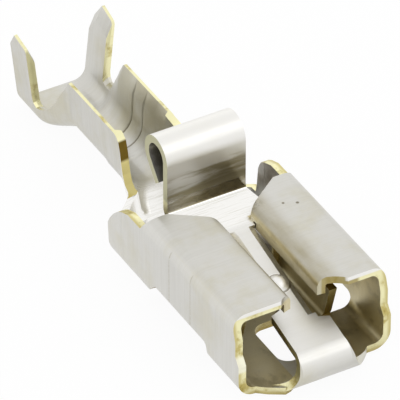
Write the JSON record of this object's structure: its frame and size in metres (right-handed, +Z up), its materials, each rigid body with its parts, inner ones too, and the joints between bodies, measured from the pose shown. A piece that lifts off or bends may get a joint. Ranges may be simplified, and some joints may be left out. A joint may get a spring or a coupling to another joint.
{
  "type": "female spade terminal",
  "caption": "Folded sheet-metal female spade terminal with rolled spring tongue, upright release lever and open crimp barrels.",
  "frame": {"origin": "middle of the width, at the underside of the base, on the front edge of the upper side walls", "axes": "+X from the wire towards the mouth, +Y across the terminal, +Z up from the base"},
  "size_m": [0.0249, 0.0078, 0.0068],
  "materials": {
    "terminal": "tin plated, satin, with bare brass on the cut edges"
  },
  "bodies": {
    "root": {"terminal": "terminal"}
  },
  "joints": []
}
